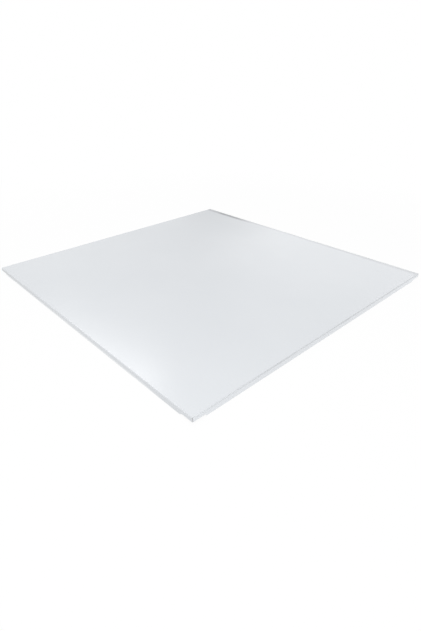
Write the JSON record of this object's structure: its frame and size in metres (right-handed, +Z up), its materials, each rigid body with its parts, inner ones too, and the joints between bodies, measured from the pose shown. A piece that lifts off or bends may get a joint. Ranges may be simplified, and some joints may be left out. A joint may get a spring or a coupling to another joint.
{
  "type": "suspended ceiling tile",
  "caption": "Square white coated sheet-metal ceiling tile: a plain flat face with a shallow upstand folded along each side, laid loose into a ceiling grid.",
  "frame": {"origin": "middle of the tile, in the plane of the rim that it rests on", "axes": "+Z up, out of the visible face; +X and +Y along two sides of the square"},
  "size_m": [0.595, 0.595, 0.0095],
  "materials": {
    "white_coat": "satin white coating on thin sheet"
  },
  "bodies": {
    "root": {"tile_pan": "white_coat"}
  },
  "joints": []
}
